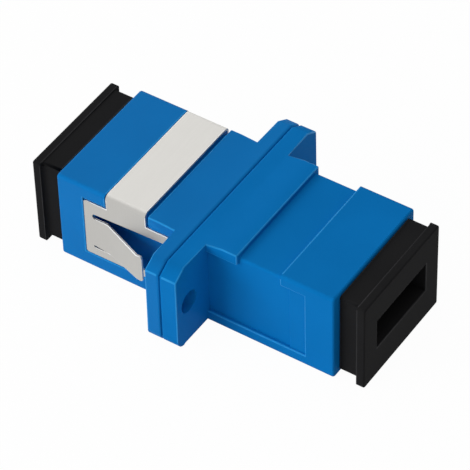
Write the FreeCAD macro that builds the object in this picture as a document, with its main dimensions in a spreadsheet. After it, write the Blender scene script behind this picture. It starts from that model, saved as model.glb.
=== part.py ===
import FreeCAD, Part
import os
import math
import Sketcher

# Flanged SC simplex fibre adapter with its two dust caps fitted.
# Frame: origin on the ferrule axis where the two halves of the flange meet; +X along the
# ferrule axis towards the front port, +Y across the width, +Z up. Millimetres.

doc = FreeCAD.newDocument("sc_fibre_adapter")
sheet = doc.addObject("Spreadsheet::Sheet", "Sizes")

SIZES = [
    # outer shells
    ("body_width", 12.9, "outside width of the rectangular tube"),
    ("body_height", 9.54, "outside height of the rectangular tube"),
    ("rear_length", 13.7, "flange seam to rear mouth"),
    ("front_length", 14.45, "flange seam to front mouth"),
    ("edge_round", 0.35, "long edges of the tube, except the roof's beside the flange"),
    ("mouth_round", 0.2, "outer edge round each mouth"),
    ("flange_width", 22.0, "across the mounting flange"),
    ("rear_plate", 1.42, "flange thickness on the rear half"),
    ("front_plate", 1.72, "flange thickness on the front half"),
    ("flange_drop", 0.27, "flange lower than the roof and higher than the floor of the tube"),
    ("block_drop", 0.17, "roof block between band and flange below the roof"),
    ("flange_ramp", 1.6, "slope of the roof down to the flange, along X"),
    ("corner_wide", 1.39, "bevel on the two upper flange corners, along the top"),
    ("corner_high", 0.85, "the same bevel, down the end"),
    ("flange_foot", 1.0, "rounding of the two lower flange corners"),
    ("seam_groove", 0.14, "bevel that leaves a V groove along the weld seam"),
    ("hole_pitch", 18.34, "between the two fixing holes"),
    ("hole_size", 2.2, "diameter of a fixing hole"),
    # port
    ("port_width", 9.1, "plug opening across"),
    ("port_height", 7.4, "plug opening up and down"),
    ("port_lead", 0.3, "bevel that leads the plug into the port"),
    ("key_width", 2.4, "keyway in the roof of the port"),
    ("key_depth", 0.45, "keyway above the roof of the port"),
    ("key_length", 4.9, "keyway in from the mouth"),
    ("arm_room", 0.4, "side pockets that let the latch arms spread"),
    ("arm_room_height", 4.4, "height of those side pockets"),
    ("arm_room_reach", 9.6, "seam to the end of those side pockets"),
    # front shell outside
    ("pad_reach", 4.87, "seam to the end of the raised pad"),
    ("waist_reach", 9.18, "seam to the collar"),
    ("waist_drop", 0.5, "waist roof below the collar roof"),
    ("waist_side", 0.33, "waist sides in from the collar sides"),
    ("ledge_height", 1.21, "full-width strip along the bottom of the waist"),
    ("label_start", 9.92, "seam to the start of the label field"),
    ("label_end", 11.56, "seam to the end of the label field"),
    ("label_top", 1.11, "top of the label field below the roof"),
    ("label_depth", 0.2, "label field in from the collar side"),
    # clip and its seat in the rear shell
    ("sheet_thick", 0.2, "stainless sheet"),
    ("clip_proud", 0.06, "band above the roof round it"),
    ("leg_sunk", 0.01, "leg below the side round it"),
    ("clip_gap", 0.1, "between the sheet and its seat"),
    ("clip_bend", 0.5, "outer bend radius of the sheet"),
    ("band_start", 4.46, "seam to the front edge of the band"),
    ("band_width", 4.11, "band over the roof"),
    ("band_gap", 0.28, "open gap in front of the band"),
    ("gap_depth", 0.55, "how deep that gap is"),
    ("leg_clear", 0.16, "seat above the upper edge of the leg"),
    ("leg_start", 2.2, "seam to the front end of the leg"),
    ("leg_end", 10.95, "seam to the rear edge of the leg"),
    ("leg_top", 1.57, "leg's upper edge below the roof"),
    ("leg_bottom", 1.77, "leg's lower edge above the floor"),
    ("arm_height", 1.0, "upper strip of the leg at its front end"),
    ("arm_root", 1.28, "the same strip at the rear end of the window"),
    ("strip_height", 0.82, "lower strip of the leg"),
    ("slot_height", 0.57, "slot above the tongue, at its rear end"),
    ("slot_low", 0.3, "slit below the tongue, at its rear end"),
    ("sheet_corner", 0.25, "rounded corners of leg, slot and tongue tip"),
    ("block_round", 0.55, "lower rear corner of the roof block in front of the band"),
    ("column_width", 0.85, "rear upright of the leg that carries the tongue"),
    ("tongue_flat", 1.55, "flat root of the tongue"),
    ("tongue_ramp", 3.95, "sloping part of the tongue, along X"),
    ("tongue_lift", 1.45, "how far the tongue stands off the side"),
    ("tongue_tip", 0.6, "flat end of the tongue"),
    ("tongue_taper", 0.3, "tongue narrows by this at each edge"),
    ("tongue_room", 1.0, "pocket behind the tongue"),
    # inner holder, the same moulding used twice
    ("holder_side", 0.65, "holder flange past the port on each side"),
    ("holder_rise", 0.3, "holder flange past the port above and below"),
    ("holder_thick", 1.2, "holder flange"),
    ("holder_gap", 0.04, "round the holder flange in its pocket"),
    ("barrel_size", 4.6, "outside of the sleeve barrel"),
    ("barrel_length", 6.2, "seam to the open end of the barrel"),
    ("barrel_lip", 0.5, "inward lip that keeps the sleeve in"),
    ("lip_bore", 2.9, "bore through that lip"),
    ("sleeve_gap", 0.04, "round the sleeve in its barrel"),
    ("arm_thick", 0.85, "latch arm"),
    ("arm_width", 3.6, "latch arm up and down"),
    ("arm_reach", 9.0, "seam to the end of a latch arm"),
    ("arm_side_gap", 0.1, "between a latch arm and the port wall"),
    ("hook_depth", 0.55, "latch hook in from the arm"),
    ("hook_length", 1.3, "latch hook along the arm"),
    # sleeve
    ("sleeve_size", 3.2, "outside of the split sleeve"),
    ("ferrule_bore", 2.5, "bore of the split sleeve"),
    ("sleeve_length", 11.3, "split sleeve"),
    ("sleeve_slit", 0.4, "slit along the sleeve"),
    # dust cap, the same moulding used twice
    ("cap_gap", 0.05, "front cap's shoulder off the mouth"),
    ("rear_cap_gap", 0.2, "rear cap's shoulder off the mouth"),
    ("plug_gap", 0.05, "round the cap plug in the port"),
    ("plug_length", 3.2, "cap plug inside the port"),
    ("neck_side", 1.02, "shoulder of the cap past the port on each side"),
    ("neck_rise", 0.72, "shoulder of the cap past the port above and below"),
    ("neck_length", 1.9, "shoulder of the cap along X"),
    ("rim_width", 12.0, "rim of the cap across"),
    ("rim_height", 9.4, "rim of the cap up and down"),
    ("rim_drop", 0.16, "rim of the cap below the shoulder's middle"),
    ("rim_thick", 0.8, "rim of the cap"),
    ("rim_flare", 0.38, "hollow curve between shoulder and rim at the sides"),
    ("cap_round", 0.15, "edges of the cap"),
    ("rim_corner", 0.22, "corners of the rim"),
    ("pocket_width", 7.9, "pocket in the cap face across"),
    ("pocket_height", 3.25, "pocket in the cap face up and down"),
    ("pocket_depth", 4.9, "pocket in the cap face"),
]
for row, (name, value, text) in enumerate(SIZES, start=1):
    sheet.set("A%d" % row, name)
    sheet.set("B%d" % row, repr(value))
    sheet.set("C%d" % row, text)
    sheet.setAlias("B%d" % row, name)
doc.recompute()


def size(name):
    return float(getattr(sheet, name))


def bind(obj, prop, text):
    """Binds a property to an expression; names of sizes in it are looked up in the sheet."""
    obj.setExpression(prop, expr(text))


def expr(text):
    words, word = [], ""
    for ch in text + " ":
        if ch.isalnum() or ch in "_.":
            word += ch
        else:
            if word in NAMES:
                word = "Sizes." + word
            words.append(word + ch)
            word = ""
    return "".join(words).strip()


NAMES = {name for name, value, text in SIZES}


def body(label):
    new = doc.addObject("PartDesign::Body", label)
    new.Label = label
    return new


def plane(owner, role):
    return [f for f in owner.Origin.OriginFeatures if f.Role == role][0]


def sketch(owner, role, name, at):
    """A sketch on one of the body's own planes, moved to the three expressions in at."""
    sk = owner.newObject("Sketcher::SketchObject", name)
    sk.AttachmentSupport = (plane(owner, role), [""])
    sk.MapMode = "FlatFace"
    for axis, text in zip("xyz", at):
        bind(sk, "AttachmentOffset.Base." + axis, text)
    return sk


def rectangle(sk, wide, high):
    """A rectangle centred on the sketch, with its width and height bound."""
    v = FreeCAD.Vector
    a, b = 1.0, 1.0
    pts = [v(-a, -b, 0), v(a, -b, 0), v(a, b, 0), v(-a, b, 0)]
    for i in range(4):
        sk.addGeometry(Part.LineSegment(pts[i], pts[(i + 1) % 4]), False)
    for i in range(4):
        sk.addConstraint(Sketcher.Constraint("Coincident", i, 2, (i + 1) % 4, 1))
    sk.addConstraint(Sketcher.Constraint("Horizontal", 0))
    sk.addConstraint(Sketcher.Constraint("Horizontal", 2))
    sk.addConstraint(Sketcher.Constraint("Vertical", 1))
    sk.addConstraint(Sketcher.Constraint("Vertical", 3))
    sk.addConstraint(Sketcher.Constraint("Symmetric", 0, 1, 1, 2, -1, 1))
    i = sk.addConstraint(Sketcher.Constraint("DistanceX", 0, 1, 0, 2, 2 * a))
    sk.renameConstraint(i, "wide")
    j = sk.addConstraint(Sketcher.Constraint("DistanceY", 1, 1, 1, 2, 2 * b))
    sk.renameConstraint(j, "high")
    bind(sk, "Constraints.wide", wide)
    bind(sk, "Constraints.high", high)


def circle(sk, across, n=0, up=None):
    """A circle on the sketch's own origin, or this far up from it."""
    v = FreeCAD.Vector
    g = sk.addGeometry(Part.Circle(v(0, 1.0 if up else 0, 0), v(0, 0, 1), 1.0), False)
    if up:
        sk.addConstraint(Sketcher.Constraint("PointOnObject", g, 3, -2))
        j = sk.addConstraint(Sketcher.Constraint("DistanceY", -1, 1, g, 3, 1.0))
        sk.renameConstraint(j, "up%d" % n)
        bind(sk, "Constraints.up%d" % n, up)
    else:
        sk.addConstraint(Sketcher.Constraint("Coincident", g, 3, -1, 1))
    i = sk.addConstraint(Sketcher.Constraint("Diameter", g, 2.0))
    sk.renameConstraint(i, "across%d" % n)
    bind(sk, "Constraints.across%d" % n, across)


def outline(sk, points):
    """A closed outline of straight lines; each corner is two positive expressions."""
    v = FreeCAD.Vector
    spot = [v(evaluate(x), evaluate(y), 0) for x, y in points]
    n = len(points)
    for i in range(n):
        sk.addGeometry(Part.LineSegment(spot[i], spot[(i + 1) % n]), False)
    for i in range(n):
        sk.addConstraint(Sketcher.Constraint("Coincident", i, 2, (i + 1) % n, 1))
    for i, (x, y) in enumerate(points):
        c = sk.addConstraint(Sketcher.Constraint("DistanceX", -1, 1, i, 1, spot[i].x))
        sk.renameConstraint(c, "x%d" % i)
        c = sk.addConstraint(Sketcher.Constraint("DistanceY", -1, 1, i, 1, spot[i].y))
        sk.renameConstraint(c, "y%d" % i)
    for i, (x, y) in enumerate(points):
        bind(sk, "Constraints.x%d" % i, x)
        bind(sk, "Constraints.y%d" % i, y)


def evaluate(text):
    """The value now of an expression made of size names, numbers and + - * / ( )."""
    total = sheet.evalExpression(expr(text).replace("Sizes.", ""))
    return float(getattr(total, "Value", total))


def pad(owner, sk, name, length, reverse=False, middle=False):
    new = owner.newObject("PartDesign::Pad", name)
    new.Profile = sk
    bind(new, "Length", length)
    new.Reversed = reverse
    if middle:
        new.Midplane = True
    finish(owner, new, +1)
    return new


def pocket(owner, sk, name, length, reverse=False, middle=False):
    new = owner.newObject("PartDesign::Pocket", name)
    new.Profile = sk
    bind(new, "Length", length)
    new.Reversed = reverse
    if middle:
        new.Midplane = True
    finish(owner, new, -1)
    return new


VOLUME = {}


def finish(owner, feature, sign):
    """Makes the feature the tip and checks that it really added or removed material."""
    owner.Tip = feature
    doc.recompute()
    before = VOLUME.get(owner.Name, 0.0)
    after = feature.Shape.Volume
    if (after - before) * sign < 1e-6:
        raise RuntimeError("%s changes %s by %.5f mm3" % (feature.Name, owner.Label, after - before))
    VOLUME[owner.Name] = after


def box(owner, name, x0, x1, wide, high, y="0", z="0", cut=False):
    """A block along X from x0 to x1, centred on y and z."""
    sk = sketch(owner, "YZ_Plane", name + "_sketch", (y, z, x0))
    rectangle(sk, wide, high)
    return (pocket if cut else pad)(owner, sk, name, "(%s) - (%s)" % (x1, x0), reverse=cut)


def edges(feature, test):
    names = []
    for i, edge in enumerate(feature.Shape.Edges, start=1):
        if test(edge):
            names.append("Edge%d" % i)
    if not names:
        raise RuntimeError("no edge of %s passes the test" % feature.Name)
    return names


def along(edge, axis, straight=True):
    a, b = edge.Vertexes[0].Point, edge.Vertexes[-1].Point
    d = b - a
    if d.Length < 1e-6:
        return False
    if straight and abs(edge.Length - d.Length) > 1e-6:
        return False
    return abs(getattr(d, axis)) > 0.999 * d.Length


def at(edge, **want):
    c = edge.BoundBox.Center
    return all(abs(getattr(c, k) - val) < 0.02 for k, val in want.items())


def both(edge, axis, val):
    return abs(abs(getattr(edge.BoundBox.Center, axis)) - val) < 0.02


def dress(owner, kind, base, name, test, amount, sign=-1):
    new = owner.newObject("PartDesign::" + kind, name)
    new.Base = (base, edges(base, test))
    bind(new, "Radius" if kind == "Fillet" else "Size", amount)
    finish(owner, new, sign)
    return new


def mirror(owner, features, name, role, sign):
    new = owner.newObject("PartDesign::Mirrored", name)
    new.Originals = features
    new.MirrorPlane = (plane(owner, role), [""])
    finish(owner, new, sign)
    return new


holder_w = "port_width + 2 * holder_side"
holder_h = "port_height + 2 * holder_rise"
neck_w = "port_width + 2 * neck_side"
neck_h = "port_height + 2 * neck_rise"


def shell(label, way):
    """The common part of a half shell: tube and half flange. way is -1 for the rear half."""
    b = body(label)
    rear = way < 0
    length = "rear_length" if rear else "front_length"
    plate = "rear_plate" if rear else "front_plate"
    ends = ("-" + length, "0") if rear else ("0", length)
    tube = box(b, "tube", ends[0], ends[1], "body_width", "body_height")
    hw, hh = size("body_width") / 2, size("body_height") / 2
    tube = dress(b, "Fillet", tube, "floor_edges",
                 lambda e: along(e, "x") and both(e, "y", hw) and at(e, z=-hh), "edge_round")
    # the roof slopes down to the flange; the sketch sits off the body so that every corner
    # has positive distances
    block = "band_start - band_gap"
    start = "-(%s + 1)" % block if rear else "-1.5"
    low, top = "1", "1 + flange_drop"
    if rear:
        step = "1 + flange_drop - block_drop"
        run = [("1", step), ("1 + %s - %s - flange_ramp" % (block, plate), step),
               ("1 + %s - %s" % (block, plate), low), ("1.5 + " + block, low),
               ("1.5 + " + block, "2"), ("1", "2")]
    else:
        run = [("1", low), ("1.5 + " + plate, low), ("1.5 + flange_ramp + " + plate, top),
               ("1.5 + flange_ramp + " + plate, "2"), ("1", "2")]
    sk = sketch(b, "XZ_Plane", "slope_sketch", (start, "body_height / 2 - flange_drop - 1", "0"))
    outline(sk, run)
    pocket(b, sk, "slope", "body_width + 2", middle=True)
    # half flange, with bevelled upper and rounded lower corners
    plates = ("-" + plate, "0") if rear else ("0", plate)
    box(b, "flange", plates[0], plates[1], "flange_width", "body_height - 2 * flange_drop")
    sk = sketch(b, "YZ_Plane", "bevel_sketch", ("0", "0", plates[0]))
    tip_y, tip_z = "flange_width / 2", "body_height / 2 - flange_drop"
    outline(sk, [
        (tip_y + " - corner_wide", tip_z),
        (tip_y, tip_z + " - corner_high"),
        (tip_y + " + 1", tip_z + " - corner_high"),
        (tip_y + " + 1", tip_z + " + 1"),
        (tip_y + " - corner_wide", tip_z + " + 1"),
    ])
    bevel = pocket(b, sk, "flange_bevel", plate, reverse=True)
    wing = mirror(b, [bevel], "flange_bevel_other", "XZ_Plane", -1)
    fw, fh = size("flange_width") / 2, size("body_height") / 2 - size("flange_drop")
    wing = dress(b, "Fillet", wing, "flange_feet",
                 lambda e: along(e, "x") and both(e, "y", fw) and at(e, z=-fh), "flange_foot")
    return b, wing


def ease_mouth(b, base, way, past):
    """Rounds the roof's long edges from x = past to the mouth, and the mouth's outer edge."""
    end = size("rear_length" if way < 0 else "front_length") * way
    hw, hh = size("body_width") / 2, size("body_height") / 2
    base = dress(b, "Fillet", base, "roof_edges",
                 lambda e: along(e, "x") and both(e, "y", hw) and at(e, z=hh)
                 and e.BoundBox.Center.x * way > past, "edge_round")
    return dress(b, "Fillet", base, "mouth_edge",
                 lambda e: abs(e.BoundBox.XMin - end) < 1e-4 and abs(e.BoundBox.XMax - end) < 1e-4,
                 "mouth_round")


def inside(b, way):
    """Port, keyway, side pockets for the latch arms, seat for the holder and fixing holes."""
    rear = way < 0
    length = "rear_length" if rear else "front_length"

    def span(near, far):
        return ("-(%s)" % far, "-(%s)" % near) if rear else (near, far)

    x0, x1 = span("0", length)
    box(b, "port", x0, x1, "port_width", "port_height", cut=True)
    x0, x1 = span("%s - key_length" % length, length)
    box(b, "keyway", x0, x1, "key_width", "key_depth + port_height / 2",
        z="(key_depth + port_height / 2) / 2", cut=True)
    x0, x1 = span("0", "arm_room_reach")
    box(b, "arm_pockets", x0, x1, "port_width + 2 * arm_room", "arm_room_height", cut=True)
    x0, x1 = span("0", "holder_thick")
    seat = box(b, "holder_seat", x0, x1, holder_w + " + 2 * holder_gap",
               holder_h + " + 2 * holder_gap", cut=True)
    end = size(length) * way
    pw, ph = size("port_width") / 2, size("port_height") / 2

    def lead(e):
        box_ = e.BoundBox
        if abs(box_.XMin - end) > 1e-4 or abs(box_.XMax - end) > 1e-4:
            return False
        side = along(e, "z") and both(e, "y", pw)
        floor = along(e, "y") and at(e, z=-ph)
        roof = along(e, "y") and at(e, z=ph)
        return side or floor or roof

    dress(b, "Chamfer", seat, "port_lead_in", lead, "port_lead")
    # fixing holes through the plate
    plate = "rear_plate" if rear else "front_plate"
    sk = sketch(b, "YZ_Plane", "hole_sketch", ("hole_pitch / 2", "0", "0"))
    circle(sk, "hole_size")
    cut = pocket(b, sk, "hole", plate, reverse=not rear)
    return mirror(b, [cut], "hole_other", "XZ_Plane", -1)


def groove(b, base):
    """Bevel round the outer edge of the seam face, so that two halves leave a V groove."""
    fw, top = size("flange_width") / 2, size("body_height") / 2 - size("flange_drop")

    def rim(e):
        box_ = e.BoundBox
        if abs(box_.XMin) > 1e-4 or abs(box_.XMax) > 1e-4:
            return False
        c = box_.Center
        side = abs(c.y) > fw - 0.75 * size("corner_wide")
        return side or abs(c.z - top) < 0.02 or c.z < 0.02 - top

    return dress(b, "Chamfer", base, "seam_bevel", rim, "seam_groove")


# ---------------------------------------------------------------- rear shell
rear, tip = shell("rear_housing", -1)
seat_depth = "(sheet_thick - clip_proud)"
side_depth = "(sheet_thick + leg_sunk)"
# seat of the band across the roof, open in front of it by the gap
box(rear, "band_seat", "-(band_start + band_width + clip_gap)", "-(band_start - band_gap)",
    "body_width", "%s" % seat_depth, z="body_height / 2 - %s / 2" % seat_depth, cut=True)
box(rear, "band_gap_roof", "-(band_start)", "-(band_start - band_gap)", "body_width", "gap_depth",
    z="body_height / 2 - gap_depth / 2", cut=True)
# seat of the leg on one side, then mirrored
leg_top_z = "(body_height / 2 - leg_top)"
leg_low_z = "(leg_bottom - body_height / 2)"
leg_high = "(body_height - leg_top - leg_bottom)"
leg_mid = "((leg_bottom - leg_top) / 2)"
side_y = "-(body_width / 2 - %s / 2)" % side_depth
# a rib of plastic stays between this seat and the flange, so the flange's face is whole
cuts = []
cuts.append(box(rear, "leg_seat", "-(leg_end + clip_gap)", "-(leg_start - clip_gap)", side_depth,
                leg_high + " + leg_clear + clip_gap", y=side_y,
                z=leg_mid + " + (leg_clear - clip_gap) / 2", cut=True))
cuts.append(box(rear, "shoulder_seat", "-(band_start + band_width + clip_gap)",
                "-(band_start - band_gap)", side_depth, "leg_top",
                y=side_y, z="body_height / 2 - leg_top / 2", cut=True))
cuts.append(box(rear, "band_gap_side", "-(band_start)", "-(band_start - band_gap)", "gap_depth",
                "leg_top", y="-(body_width / 2 - gap_depth / 2)",
                z="body_height / 2 - leg_top / 2", cut=True))
cuts.append(box(rear, "tongue_pocket", "-(leg_end - column_width - clip_gap)",
                "-(leg_start - clip_gap)", side_depth + " + tongue_room",
                leg_high + " - arm_height - strip_height",
                y="-(body_width / 2 - (%s + tongue_room) / 2)" % side_depth,
                z=leg_mid + " + (strip_height - arm_height) / 2", cut=True))
tip = mirror(rear, cuts, "clip_seat_other", "XZ_Plane", -1)
# the roof block between band and flange has its lower rear corner rounded
bx = -(size("band_start") - size("band_gap"))
bz = size("body_height") / 2 - size("leg_top") + size("leg_clear")
tip = dress(rear, "Fillet", tip, "block_corner",
            lambda e: along(e, "y") and at(e, x=bx) and abs(e.BoundBox.Center.z - bz) < 0.1,
            "block_round")
# the seat's long corner clears the inside of the bend
sy = size("body_width") / 2 - size("sheet_thick") - size("leg_sunk")
sz = size("body_height") / 2 - size("sheet_thick") + size("clip_proud")
tip = dress(rear, "Fillet", tip, "seat_corner",
            lambda e: along(e, "x") and both(e, "y", sy) and at(e, z=sz),
            "clip_bend - sheet_thick")
tip = ease_mouth(rear, tip, -1, size("band_start") + size("band_width"))
tip = inside(rear, -1)
groove(rear, tip)

# ---------------------------------------------------------------- front shell
front, tip = shell("front_housing", 1)
# waist: roof and sides set in, between the pad or flange and the collar
box(front, "waist_roof", "pad_reach", "waist_reach", "body_width", "waist_drop",
    z="body_height / 2 - waist_drop / 2", cut=True)
waist_h = "(body_height - ledge_height)"
side = "-(body_width / 2 - waist_side / 2)"
cuts = [
    box(front, "waist_side_low", "front_plate", "label_start", "waist_side",
        waist_h + " - label_top", y=side,
        z="body_height / 2 - label_top - (%s - label_top) / 2" % waist_h, cut=True),
    box(front, "waist_side_high", "pad_reach", "waist_reach", "waist_side", "label_top",
        y=side, z="body_height / 2 - label_top / 2", cut=True),
    box(front, "label_field", "label_start", "label_end", "label_depth",
        waist_h + " - label_top", y="-(body_width / 2 - label_depth / 2)",
        z="body_height / 2 - label_top - (%s - label_top) / 2" % waist_h, cut=True),
]
tip = mirror(front, cuts, "waist_other", "XZ_Plane", -1)
wx = (size("pad_reach") + size("waist_reach")) / 2
wy = size("body_width") / 2 - size("waist_side")
wz = size("body_height") / 2 - size("waist_drop")
tip = dress(front, "Fillet", tip, "waist_edges",
            lambda e: along(e, "x") and both(e, "y", wy) and at(e, z=wz), "waist_drop / 2")
tip = ease_mouth(front, tip, 1, size("waist_reach"))
tip = inside(front, 1)
groove(front, tip)


# ---------------------------------------------------------------- inner holders
def holder(label):
    """Flange, half barrel for the sleeve and two hooked latch arms, one moulding.
    Its own X runs from the seam towards the mouth."""
    b = body(label)
    base = box(b, "flange", "0", "holder_thick", holder_w, holder_h)
    sk = sketch(b, "YZ_Plane", "barrel_sketch", ("0", "0", "0"))
    circle(sk, "barrel_size")
    pad(b, sk, "barrel", "barrel_length")
    sk = sketch(b, "YZ_Plane", "bore_sketch", ("0", "0", "0"))
    circle(sk, "sleeve_size + 2 * sleeve_gap")
    pocket(b, sk, "bore", "barrel_length - barrel_lip", reverse=True)
    sk = sketch(b, "YZ_Plane", "lip_sketch", ("0", "0", "0"))
    circle(sk, "lip_bore")
    lip = pocket(b, sk, "lip", "barrel_length", reverse=True)
    end = size("barrel_length")
    dress(b, "Chamfer", lip, "ferrule_lead",
          lambda e: abs(e.BoundBox.XMin - end) < 1e-4 and abs(e.BoundBox.XMax - end) < 1e-4
          and e.BoundBox.YLength < size("lip_bore") + 0.01, "0.25")
    # latch arm in plan, with a hook whose two faces slope
    out = "port_width / 2 - arm_side_gap"
    sk = sketch(b, "XY_Plane", "arm_sketch", ("0", "0", "0"))
    outline(sk, [
        ("holder_thick / 2", out),
        ("holder_thick / 2", out + " - arm_thick"),
        ("arm_reach - hook_length", out + " - arm_thick"),
        ("arm_reach - hook_length * 0.75", out + " - arm_thick - hook_depth"),
        ("arm_reach - hook_length * 0.45", out + " - arm_thick - hook_depth"),
        ("arm_reach", out + " - arm_thick * 0.7"),
        ("arm_reach", out),
    ])
    arm = pad(b, sk, "arm", "arm_width", middle=True)
    tip = mirror(b, [arm], "arm_other", "XZ_Plane", 1)
    return b


rear_holder = holder("rear_holder")
front_holder = holder("front_holder")
rear_holder.Placement = FreeCAD.Placement(FreeCAD.Vector(0, 0, 0),
                                          FreeCAD.Rotation(FreeCAD.Vector(0, 0, 1), 180))

# ---------------------------------------------------------------- split sleeve
sleeve = body("split_sleeve")
sk = sketch(sleeve, "YZ_Plane", "sleeve_sketch", ("0", "0", "0"))
circle(sk, "sleeve_size")
circle(sk, "ferrule_bore", n=1)
pad(sleeve, sk, "tube", "sleeve_length", middle=True)
sk = sketch(sleeve, "YZ_Plane", "slit_sketch", ("0", "sleeve_size / 2", "0"))
rectangle(sk, "sleeve_slit", "sleeve_size")
tip = pocket(sleeve, sk, "slit", "sleeve_length", middle=True)

# ---------------------------------------------------------------- panel clip
clip = body("panel_clip")
out_w = "(body_width - 2 * leg_sunk)"
out_h = "(body_height / 2 + clip_proud)"
low = "(body_height / 2 - leg_bottom)"
# U bent from sheet, as long as the leg, then trimmed to the leg's outline
blank = box(clip, "blank", "-leg_end", "-leg_start", out_w, out_h + " + " + low,
            z="(%s - %s) / 2" % (out_h, low))
ow = size("body_width") / 2 - size("leg_sunk")
oh = size("body_height") / 2 + size("clip_proud")
blank = dress(clip, "Fillet", blank, "bends",
              lambda e: along(e, "x") and both(e, "y", ow) and at(e, z=oh), "clip_bend")
core = box(clip, "core", "-leg_end", "-leg_start", out_w + " - 2 * sheet_thick",
           out_h + " - sheet_thick + " + low,
           z="(%s - sheet_thick - %s) / 2" % (out_h, low), cut=True)
iw, ih = ow - size("sheet_thick"), oh - size("sheet_thick")
# the inner bend follows the outer one at the sheet's thickness
dress(clip, "Fillet", core, "inner_bends",
      lambda e: along(e, "x") and both(e, "y", iw) and at(e, z=ih), "clip_bend - sheet_thick", +1)
trim_h = "(leg_top + clip_proud)"
trim_z = "body_height / 2 + clip_proud - %s / 2" % trim_h
box(clip, "trim_front", "-(band_start)", "-leg_start", out_w, trim_h, z=trim_z, cut=True)
box(clip, "trim_rear", "-leg_end", "-(band_start + band_width)", out_w, trim_h, z=trim_z,
    cut=True)
# window for the tongue, open between the two strips of each leg
strip_z = "(leg_bottom - body_height / 2 + strip_height)"
sk = sketch(clip, "XZ_Plane", "window_sketch", ("-(leg_end + 1)", strip_z + " - 1", "0"))
outline(sk, [
    ("1 + column_width", "1"),
    ("1 + column_width", "1 + %s - strip_height - arm_root" % leg_high),
    ("1 + leg_end - leg_start", "1 + %s - strip_height - arm_height" % leg_high),
    ("1 + leg_end - leg_start", "1"),
])
pocket(clip, sk, "window", out_w, middle=True)
# sprung tongue in plan: flat root, ramp, flat tip; the sketch sits off the body so that
# every corner has positive distances
tongue_h = "(%s - arm_root - slot_height - strip_height)" % leg_high
tongue_z = "(%s + %s / 2)" % (strip_z, tongue_h)
sk = sketch(clip, "XY_Plane", "tongue_sketch",
            ("-(leg_end - column_width + 1)", "-(body_width / 2 - leg_sunk + tongue_lift + 1)",
             tongue_z))
run = "(1 + tongue_flat)"
slope = "sqrt(tongue_ramp ^ 2 + tongue_lift ^ 2)"
kink = "(sheet_thick * (%s - tongue_ramp) / tongue_lift)" % slope
skin = "(1 + tongue_lift)"
far_x = "(%s + tongue_ramp)" % run
outline(sk, [
    ("0.6", skin),
    ("%s - %s" % (run, "0"), skin),
    (far_x, "1"),
    ("%s + tongue_tip" % far_x, "1"),
    ("%s + tongue_tip" % far_x, "1 + sheet_thick"),
    ("%s + %s" % (far_x, kink), "1 + sheet_thick"),
    ("%s + %s" % (run, kink), "%s + sheet_thick" % skin),
    ("0.6", "%s + sheet_thick" % skin),
])
tongue = pad(clip, sk, "tongue", tongue_h, middle=True)
# upper and lower edges of the tongue taper towards its tip
sk = sketch(clip, "XZ_Plane", "taper_sketch",
            ("-(leg_end - column_width + 1)", "%s + %s / 2 - 1 - tongue_taper" % (tongue_z, tongue_h),
             "body_width / 2 - leg_sunk - sheet_thick - 0.1"))
outline(sk, [
    (run, "1 + tongue_taper"),
    ("%s" % far_x, "1"),
    ("%s + tongue_tip + 0.2" % far_x, "1"),
    ("%s + tongue_tip + 0.2" % far_x, "1.2 + tongue_taper"),
    (run, "1.2 + tongue_taper"),
])
taper = pocket(clip, sk, "taper_top", "tongue_lift + sheet_thick + 0.4", reverse=True)
# a wedge of a slit parts the tongue from the lower strip
sk = sketch(clip, "XZ_Plane", "taper_low_sketch",
            ("-(leg_end - column_width + 1)", strip_z + " - 1",
             "body_width / 2 - leg_sunk - sheet_thick - 0.1"))
outline(sk, [
    ("1", "1"),
    ("1", "1 + slot_low"),
    (run, "1.03"),
    (far_x, "1 + tongue_taper"),
    ("%s + tongue_tip + 0.2" % far_x, "1 + tongue_taper"),
    ("%s + tongue_tip + 0.2" % far_x, "1"),
])
taper_low = pocket(clip, sk, "taper_low", "tongue_lift + sheet_thick + 0.4", reverse=True)
tip = mirror(clip, [tongue, taper, taper_low], "tongue_other", "XZ_Plane", 1)
# rounded outer corners of the leg and the tongue's tip
leg_x = -size("leg_end")
tip_x = -(size("leg_end") - size("column_width") - size("tongue_flat") - size("tongue_ramp")
          - size("tongue_tip"))
tip = dress(clip, "Fillet", tip, "sheet_corners",
            lambda e: along(e, "y") and (at(e, x=leg_x) or at(e, x=tip_x))
            and e.Length < 2 * size("sheet_thick"), "sheet_corner")
# rounded rear end of the slot above the tongue
slot_x = -(size("leg_end") - size("column_width"))
slot_z = (size("body_height") / 2 - size("leg_top") - size("arm_root")
          - size("slot_height") / 2)
tip = dress(clip, "Fillet", tip, "slot_end",
            lambda e: along(e, "y") and at(e, x=slot_x)
            and abs(e.BoundBox.Center.z - slot_z) < 0.6 * size("slot_height"),
            "slot_height * 0.45", +1)


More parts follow.
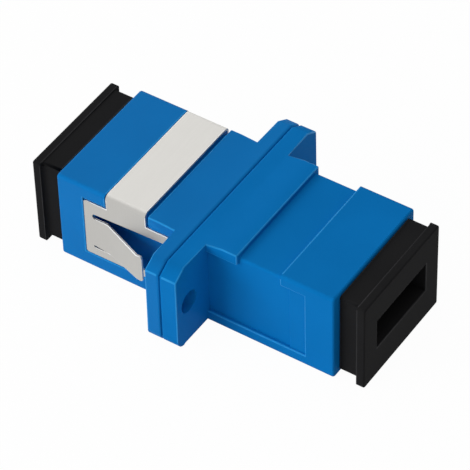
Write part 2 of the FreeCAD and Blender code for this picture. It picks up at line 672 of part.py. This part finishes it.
# ---------------------------------------------------------------- dust caps
def cap(label):
    """Rim, shoulder and hollow plug, one moulding. Its own X = 0 is the shoulder face that
    meets the mouth and +X points outwards."""
    b = body(label)
    box(b, "plug", "-plug_length", "0.5", "port_width - 2 * plug_gap", "port_height - 2 * plug_gap")
    pw = size("port_width") / 2 - size("plug_gap")
    ph = size("port_height") / 2 - size("plug_gap")
    end = -size("plug_length")
    dress(b, "Chamfer", b.Tip, "plug_lead",
          lambda e: abs(e.BoundBox.XMin - end) < 1e-4 and abs(e.BoundBox.XMax - end) < 1e-4, "0.4")
    box(b, "neck", "0", "neck_length", neck_w, neck_h)
    nw, nh = evaluate(neck_w) / 2, evaluate(neck_h) / 2
    dress(b, "Fillet", b.Tip, "neck_edges",
          lambda e: along(e, "x") and both(e, "y", nw) and both(e, "z", nh), "cap_round * 2")
    box(b, "rim", "neck_length", "neck_length + rim_thick", "rim_width", "rim_height",
        z="-rim_drop")
    rw, rh = size("rim_width") / 2, size("rim_height") / 2
    dress(b, "Fillet", b.Tip, "rim_corners",
          lambda e: along(e, "x") and both(e, "y", rw)
          and abs(abs(e.BoundBox.Center.z + size("rim_drop")) - rh) < 0.02, "rim_corner")
    face = size("neck_length") + size("rim_thick")
    dress(b, "Fillet", b.Tip, "rim_edge",
          lambda e: abs(e.BoundBox.XMin - face) < 1e-4 and abs(e.BoundBox.XMax - face) < 1e-4,
          "cap_round")
    box(b, "pocket", "neck_length + rim_thick - pocket_depth", "neck_length + rim_thick",
        "pocket_width", "pocket_height", cut=True)
    # hollow curve from the shoulder's side out to the rim, in three flats
    sk = sketch(b, "XY_Plane", "flare_sketch", ("0", "0", "0"))
    side = "%s / 2" % ("(" + neck_w + ")")
    outline(sk, [
        ("neck_length - rim_flare", side),
        ("neck_length - rim_flare / 2", side + " + rim_flare * 0.134"),
        ("neck_length - rim_flare * 0.134", side + " + rim_flare / 2"),
        ("neck_length", side + " + rim_flare"),
        ("neck_length + rim_thick / 2", side + " + rim_flare"),
        ("neck_length + rim_thick / 2", side + " - 0.4"),
        ("neck_length - rim_flare", side + " - 0.4"),
    ])
    flare = pad(b, sk, "flare", neck_h + " - 4 * cap_round", middle=True)
    mirror(b, [flare], "flare_other", "XZ_Plane", 1)
    return b


rear_cap = cap("rear_cap")
front_cap = cap("front_cap")
rear_cap.Placement = FreeCAD.Placement(FreeCAD.Vector(0, 0, 0),
                                       FreeCAD.Rotation(FreeCAD.Vector(0, 0, 1), 180))
bind(rear_cap, "Placement.Base.x", "-(rear_length + rear_cap_gap)")
bind(front_cap, "Placement.Base.x", "front_length + cap_gap")

# ---------------------------------------------------------------- check and write
doc.recompute()
for obj in doc.Objects:
    if "Invalid" in obj.State or "Error" in obj.State:
        raise RuntimeError("%s failed: %s" % (obj.Name, obj.State))
os.makedirs("parts", exist_ok=True)
for piece in (rear, front, rear_holder, front_holder, sleeve, clip, rear_cap, front_cap):
    shape = piece.Shape
    if shape.isNull() or not shape.isValid() or len(shape.Solids) != 1:
        raise RuntimeError("%s is not one valid solid" % piece.Label)
    shape.exportStep("parts/%s.step" % piece.Label)
    bb = shape.BoundBox
    print("%-14s %9.3f mm3  X %.2f..%.2f  Y %.2f..%.2f  Z %.2f..%.2f" % (
        piece.Label, shape.Volume, bb.XMin, bb.XMax, bb.YMin, bb.YMax, bb.ZMin, bb.ZMax))
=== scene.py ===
import math

import bmesh
import bpy
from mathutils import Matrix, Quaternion, Vector


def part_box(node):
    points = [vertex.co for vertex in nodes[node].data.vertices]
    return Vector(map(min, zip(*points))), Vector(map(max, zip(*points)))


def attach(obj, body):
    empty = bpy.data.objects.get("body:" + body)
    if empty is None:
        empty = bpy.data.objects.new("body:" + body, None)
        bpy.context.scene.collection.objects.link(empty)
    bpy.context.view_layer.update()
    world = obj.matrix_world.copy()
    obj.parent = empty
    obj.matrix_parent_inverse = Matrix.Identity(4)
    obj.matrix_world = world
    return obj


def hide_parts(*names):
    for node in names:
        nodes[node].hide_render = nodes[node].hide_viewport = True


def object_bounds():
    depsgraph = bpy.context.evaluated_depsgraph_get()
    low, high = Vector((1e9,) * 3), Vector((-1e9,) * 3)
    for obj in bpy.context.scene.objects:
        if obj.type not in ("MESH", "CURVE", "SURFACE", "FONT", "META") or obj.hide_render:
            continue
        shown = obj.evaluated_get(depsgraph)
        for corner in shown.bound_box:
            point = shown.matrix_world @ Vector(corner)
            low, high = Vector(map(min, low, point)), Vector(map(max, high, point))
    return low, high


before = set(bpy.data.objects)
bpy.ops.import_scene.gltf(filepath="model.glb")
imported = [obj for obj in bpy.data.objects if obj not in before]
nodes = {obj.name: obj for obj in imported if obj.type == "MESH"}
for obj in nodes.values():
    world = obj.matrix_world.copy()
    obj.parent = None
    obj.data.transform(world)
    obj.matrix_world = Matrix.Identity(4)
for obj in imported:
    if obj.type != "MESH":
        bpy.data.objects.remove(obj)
cad_low, cad_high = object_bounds()

# ---- The two blue shells ----
# The body of the adapter: two halves moulded in blue thermoplastic polyester and welded
# together at the seam through the middle of the fixing flange.
SHELL_BLUE = (0.0028, 0.1780, 0.5150)
SHELL_BLUE_DEEP = (0.0022, 0.1620, 0.4750)
# lighter blues for the rounded edges: a painted highlight in place of the light lines the edges
# catch
PAINTED_HIGHLIGHT_BLUE = (0.014, 0.285, 0.680)
PAINTED_HIGHLIGHT_BLUE_DEEP = (0.008, 0.240, 0.610)
SHELL_RADIUS = 0.00011
# boxes, by lowest and highest corner, where a rounding keeps the plain colour and gets no painted
# highlight
SEAM = ((-0.0003, -1.0, -1.0), (0.0003, 1.0, 1.0))
FIELD_REAR_EDGE = ((0.0094, 0.0058, -0.0042), (0.0104, 0.0068, 0.0036))

GLOSS_DRIFT = 0.06            # how far the roughness of a moulding wanders either way
SAME_POINT = 1e-7             # corners nearer than this are one corner
FLAT = math.radians(0.5)      # faces that turn less than this from each other are one face
CRISP = math.radians(35)      # an outer edge that turns more than this gets a radius
VISIBLE = math.radians(32)    # an edge that turns more than this still shows as a line
SHORTEST = 2.2                # an edge shorter than this many radii is left alone
STEPS = 3                     # facets across each rounding
# the second finish is a painted highlight: a lighter colour given to the roundings
PLAIN, PAINTED_HIGHLIGHT = 0, 1          # a piece's two finishes, by their place in its list


def add(tree, kind, inputs):
    """A shader node, whose inputs take plain values or the outputs of other nodes."""
    node = tree.nodes.new("ShaderNode" + kind)
    for name, value in inputs.items():
        if isinstance(value, bpy.types.NodeSocket):
            tree.links.new(value, node.inputs[name])
        else:
            node.inputs[name].default_value = value
    return node


def new_material(name):
    """A material with a plain shader, ready to be given its finish."""
    material = bpy.data.materials.new(name)
    material.use_nodes = True
    return material, material.node_tree, material.node_tree.nodes["Principled BSDF"].inputs


def cloudy(tree, at, scale, detail):
    """Noise that drifts between 0 and 1 over a piece."""
    noise = add(tree, "TexNoise", {"Vector": at, "Scale": scale, "Detail": detail})
    return noise.outputs["Fac"]


def dress(tree, skin, drift, colours, turns, roughness, relief, strength, depth):
    """Colour and gloss follow the drift, and the relief stands out of the surface."""
    tint = add(tree, "ValToRGB", {"Fac": drift})
    for stop, turn, colour in zip(tint.color_ramp.elements, turns, colours):
        stop.position = turn
        stop.color = (*colour, 1.0)
    tree.links.new(tint.outputs["Color"], skin["Base Color"])
    low, high = roughness
    sheen = add(tree, "MapRange", {"Value": drift, "To Min": low, "To Max": high})
    tree.links.new(sheen.outputs["Result"], skin["Roughness"])
    bump = add(tree, "Bump", {"Height": relief, "Strength": strength, "Distance": depth})
    tree.links.new(bump.outputs["Normal"], skin["Normal"])


def moulded_plastic(name, light, deep, roughness, gloss, grain, mottle):
    """Moulded plastic: a slow drift of colour, a fine spark-eroded grain and uneven gloss."""
    plastic, tree, skin = new_material(name)
    skin["Specular IOR Level"].default_value = gloss
    at = add(tree, "TexCoord", {}).outputs["Object"]
    dress(tree, skin, cloudy(tree, at, scale=mottle, detail=4.0), colours=(deep, light),
          turns=(0.30, 0.70), roughness=(roughness - GLOSS_DRIFT, roughness + GLOSS_DRIFT),
          relief=cloudy(tree, at, scale=grain, detail=2.0), strength=0.10, depth=0.00002)
    return plastic


def inside(point, low, high):
    """Whether a point is in a box on the near half, or in that box mirrored to the far half."""
    return all(a < b < c for a, b, c in zip(low, (point.x, abs(point.y), point.z), high))


def eased(node, body, materials, radius, left_sharp=None, no_painted_highlight=()):
    """The same piece with every outer edge broken by a small radius, the roundings given a
    lighter finish as a painted highlight.
    """
    shape = bmesh.new()
    shape.from_mesh(nodes[node].data)
    bmesh.ops.remove_doubles(shape, verts=shape.verts, dist=SAME_POINT)
    bmesh.ops.dissolve_limit(shape, angle_limit=FLAT, verts=shape.verts, edges=shape.edges)
    crisp = []
    for edge in shape.edges:
        middle = (edge.verts[0].co + edge.verts[1].co) / 2
        if (edge.is_manifold and edge.is_convex and edge.calc_face_angle() > CRISP
                and edge.calc_length() > SHORTEST * radius
                and not (left_sharp and inside(middle, *left_sharp))):
            crisp.append(edge)
    # the roundings take the second finish, a painted highlight
    bmesh.ops.bevel(shape, geom=crisp, offset=radius, offset_type="OFFSET", segments=STEPS,
                    profile=0.5, affect="EDGES", clamp_overlap=False, material=PAINTED_HIGHLIGHT)
    low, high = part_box(node)
    for vert in shape.verts:
        vert.co = Vector(min(max(at, least), most) for at, least, most in zip(vert.co, low, high))
    # inside the listed boxes the roundings go back to the plain finish, without the painted
    # highlight
    for face in shape.faces:
        if any(inside(face.calc_center_median(), *place) for place in no_painted_highlight):
            face.material_index = PLAIN
    mesh = bpy.data.meshes.new(node + "_eased")
    shape.to_mesh(mesh)
    shape.free()
    for material in materials:
        mesh.materials.append(material)
    mesh.shade_smooth()
    mesh.set_sharp_from_angle(angle=VISIBLE)
    piece = bpy.data.objects.new(node + "_eased", mesh)
    bpy.context.scene.collection.objects.link(piece)
    smooth = piece.modifiers.new("face_normals", "WEIGHTED_NORMAL")
    smooth.keep_sharp = True
    smooth.weight = 100
    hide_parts(node)
    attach(piece, body)


shell_plastic = moulded_plastic("blue_plastic", SHELL_BLUE, SHELL_BLUE_DEEP,
                                roughness=0.46, gloss=0.05, grain=9000.0, mottle=160.0)
duller_plastic = moulded_plastic("blue_plastic_front", SHELL_BLUE, SHELL_BLUE_DEEP,
                                 roughness=0.50, gloss=0.015, grain=9000.0, mottle=160.0)
# the roundings of both shells get a lighter, glossier blue: a painted highlight
shell_painted_highlight = moulded_plastic("blue_plastic_painted_highlight", PAINTED_HIGHLIGHT_BLUE, PAINTED_HIGHLIGHT_BLUE_DEEP,
                              roughness=0.38, gloss=0.16, grain=9000.0, mottle=900.0)
eased("rear_housing", "adapter", (shell_plastic, shell_painted_highlight), SHELL_RADIUS,
      no_painted_highlight=(SEAM,))
eased("front_housing", "adapter", (duller_plastic, shell_painted_highlight), SHELL_RADIUS,
      no_painted_highlight=(SEAM, FIELD_REAR_EDGE))

# ---- The two holders inside ----
# Natural, unpigmented polymer: a small flange with a barrel that centres the sleeve and two
# sprung arms that catch the plug. Each is trapped in its shell when the halves are welded.
HOLDER_CREAM = (0.72, 0.70, 0.62)
HOLDER_CREAM_DEEP = (0.66, 0.63, 0.54)


def coat(node, material):
    """A finish for a piece that is shown as it comes, with no edge broken."""
    for place in nodes[node].material_slots:
        place.material = material


holder_plastic = moulded_plastic("natural_plastic", HOLDER_CREAM, HOLDER_CREAM_DEEP,
                                 roughness=0.40, gloss=0.40, grain=7000.0, mottle=200.0)
for holder in ("rear_holder", "front_holder"):
    coat(holder, holder_plastic)

# ---- The split sleeve ----
# A short white zirconia tube, ground and polished, with one slit along it. It floats in the
# two barrels and closes on the ferrules of both plugs.
SLEEVE_WHITE = (0.82, 0.81, 0.78)
SLEEVE_WHITE_DEEP = (0.78, 0.77, 0.73)
sleeve_ceramic = moulded_plastic("zirconia", SLEEVE_WHITE, SLEEVE_WHITE_DEEP,
                                 roughness=0.18, gloss=0.55, grain=12000.0, mottle=300.0)
coat("split_sleeve", sleeve_ceramic)

# ---- The panel clip ----
# One strip of stainless sheet, stamped, bent over the roof into a U and pressed on; a sprung
# tongue is cut and set outwards on each side.
STEEL_GREY = (0.63, 0.62, 0.595)
STEEL_GREY_DEEP = (0.57, 0.56, 0.535)
# near-white steel for the clip's rounded edges: a painted highlight, standing in for the white
# lines they catch
PAINTED_HIGHLIGHT_STEEL = (0.98, 0.98, 0.97)
PAINTED_HIGHLIGHT_STEEL_DEEP = (0.93, 0.93, 0.92)
ROLLING_LINES = (9000.0, 500.0, 500.0)
CLIP_RADIUS = 0.00006
# the wedge slit under each tongue's root, which is too narrow for a radius
LOWER_SLOT = ((-0.0102, 0.0060, -0.0024), (-0.0070, 0.0070, -0.0010))


def rolled_steel(name, light, deep, metal):
    """Satin sheet with fine lines from rolling, which run along the strip."""
    steel, tree, skin = new_material(name)
    skin["Metallic"].default_value = metal
    at = add(tree, "TexCoord", {}).outputs["Object"]
    stretch = add(tree, "Mapping", {"Vector": at, "Scale": ROLLING_LINES}).outputs["Vector"]
    rolling = cloudy(tree, stretch, scale=1.0, detail=3.0)
    dress(tree, skin, rolling, colours=(deep, light), turns=(0.0, 1.0),
          roughness=(0.46, 0.56), relief=rolling, strength=0.05, depth=0.00001)
    return steel


clip_steel = rolled_steel("stainless", STEEL_GREY, STEEL_GREY_DEEP, metal=1.0)
# the clip's roundings get the near-white, half-metal steel: a painted highlight
steel_painted_highlight = rolled_steel("stainless_painted_highlight", PAINTED_HIGHLIGHT_STEEL, PAINTED_HIGHLIGHT_STEEL_DEEP, metal=0.2)
eased("panel_clip", "adapter", (clip_steel, steel_painted_highlight), CLIP_RADIUS,
      left_sharp=LOWER_SLOT)

# ---- The two dust caps ----
# Black polyethylene, one moulding each: a rim to pull on, a neck and a hollow plug that
# pushes into the port.
CAP_BLACK = (0.0155, 0.0155, 0.0162)
CAP_BLACK_DEEP = (0.0122, 0.0122, 0.0128)
# a lighter black for the caps' rounded edges: a painted highlight
PAINTED_HIGHLIGHT_BLACK = (0.027, 0.027, 0.029)
PAINTED_HIGHLIGHT_BLACK_DEEP = (0.019, 0.019, 0.020)
CAP_RADIUS = 0.00009
cap_plastic = moulded_plastic("black_plastic", CAP_BLACK, CAP_BLACK_DEEP,
                              roughness=0.58, gloss=0.012, grain=6000.0, mottle=150.0)
# the caps' roundings take the lighter black: a painted highlight
cap_painted_highlight = moulded_plastic("black_plastic_painted_highlight", PAINTED_HIGHLIGHT_BLACK, PAINTED_HIGHLIGHT_BLACK_DEEP,
                            roughness=0.50, gloss=0.06, grain=6000.0, mottle=900.0)
for cap, body in (("rear_cap", "rear_dust_cap"), ("front_cap", "front_dust_cap")):
    eased(cap, body, (cap_plastic, cap_painted_highlight), CAP_RADIUS)

# ---- Studio ----
# A plain white floor under an even white sky. Three softboxes light the adapter: a large
# one over the near side, one above and a weaker one beyond the far edge.
WHITE = (1.0, 1.0, 1.0, 1.0)
PAPER_WHITE = (0.95, 0.95, 0.95, 1.0)
FLOOR_WIDTH = 4.0
FLOOR_GAP = 0.00002           # the adapter lies this far above the paper
FLOOR_GLOW = 0.97             # the share of the floor that glows; the rest keeps the shadow
SKY_LIGHT = 0.31              # the sky's strength as a lamp; to the eye it is 1
SKY_IN_STEEL = 0.85           # how far a reflection goes from that strength to 1


def sums(tree, operation, first, second):
    """One step of arithmetic on two outputs, or on an output and a number."""
    step = add(tree, "Math", {0: first, 1: second})
    step.operation = operation
    return step.outputs["Value"]


def looked_at(tree, reflected):
    """1 where the eye sees this directly or through glass, and a share of 1 in a reflection."""
    rays = add(tree, "LightPath", {}).outputs
    direct = sums(tree, "MAXIMUM", rays["Is Camera Ray"], rays["Is Transmission Ray"])
    mirrored = sums(tree, "MULTIPLY", rays["Is Glossy Ray"], reflected)
    return sums(tree, "MAXIMUM", direct, mirrored)


floor_z = cad_low.z - FLOOR_GAP
bpy.ops.mesh.primitive_plane_add(size=FLOOR_WIDTH, location=(0.0, 0.0, floor_z))
floor = bpy.context.object
floor.name = "floor"
paper, tree, skin = new_material("white_paper")
skin["Base Color"].default_value = PAPER_WHITE
skin["Roughness"].default_value = 0.9
skin["Specular IOR Level"].default_value = 0.0
share = sums(tree, "MULTIPLY", looked_at(tree, reflected=1.0), FLOOR_GLOW)
glow = add(tree, "Emission", {"Color": WHITE, "Strength": 1.0}).outputs["Emission"]
matt = tree.nodes["Principled BSDF"].outputs["BSDF"]
blend = add(tree, "MixShader", {0: share, 1: matt, 2: glow}).outputs["Shader"]
tree.links.new(blend, tree.nodes["Material Output"].inputs["Surface"])
floor.data.materials.append(paper)

world = bpy.data.worlds.new("studio")
bpy.context.scene.world = world
world.use_nodes = True
tree = world.node_tree
sky = tree.nodes["Background"].inputs
sky["Color"].default_value = WHITE
seen = looked_at(tree, reflected=SKY_IN_STEEL)
level = add(tree, "MapRange", {"Value": seen, "To Min": SKY_LIGHT, "To Max": 1.0})
tree.links.new(level.outputs["Result"], sky["Strength"])


def soft_lamp(name, at, size, power, mirrored):
    """A square softbox that faces the middle of the adapter, and may show in the steel."""
    lamp = bpy.data.lights.new(name, "AREA")
    lamp.shape = "SQUARE"
    lamp.size = size
    lamp.energy = power
    stand = bpy.data.objects.new(name, lamp)
    stand.location = at
    stand.visible_glossy = mirrored
    stand.rotation_euler = (-Vector(at)).to_track_quat("-Z", "Y").to_euler()
    bpy.context.scene.collection.objects.link(stand)


soft_lamp("near_side_lamp", (-0.40, -0.50, 0.20), size=0.55, power=3.5, mirrored=False)
soft_lamp("top_lamp", (0.05, -0.05, 0.70), size=0.60, power=1.40, mirrored=True)
soft_lamp("far_edge_lamp", (-0.52, 0.40, 0.20), size=0.50, power=0.9, mirrored=True)

# the camera stands to the right of the near side and looks down at the adapter
AZIMUTH, ELEVATION, ROLL = 34.66, 45.0, -1.75
DISTANCE = 0.28305
MIDDLE = Vector((0.00043, -0.00015, -0.00038))
lens = bpy.data.cameras.new("camera")
lens.sensor_width = 36.0
lens.lens = 250.9
lens.clip_start = 0.01
camera = bpy.data.objects.new("camera", lens)
side, rise = math.radians(AZIMUTH), math.radians(ELEVATION)
back = Vector((math.sin(side) * math.cos(rise), -math.cos(side) * math.cos(rise), math.sin(rise)))
camera.location = MIDDLE + DISTANCE * back
camera.rotation_mode = "QUATERNION"
camera.rotation_quaternion = (back.to_track_quat("Z", "Y")
                              @ Quaternion((0.0, 0.0, 1.0), math.radians(ROLL)))
bpy.context.scene.collection.objects.link(camera)
bpy.context.scene.camera = camera

bpy.context.scene.view_settings.view_transform = "Standard"
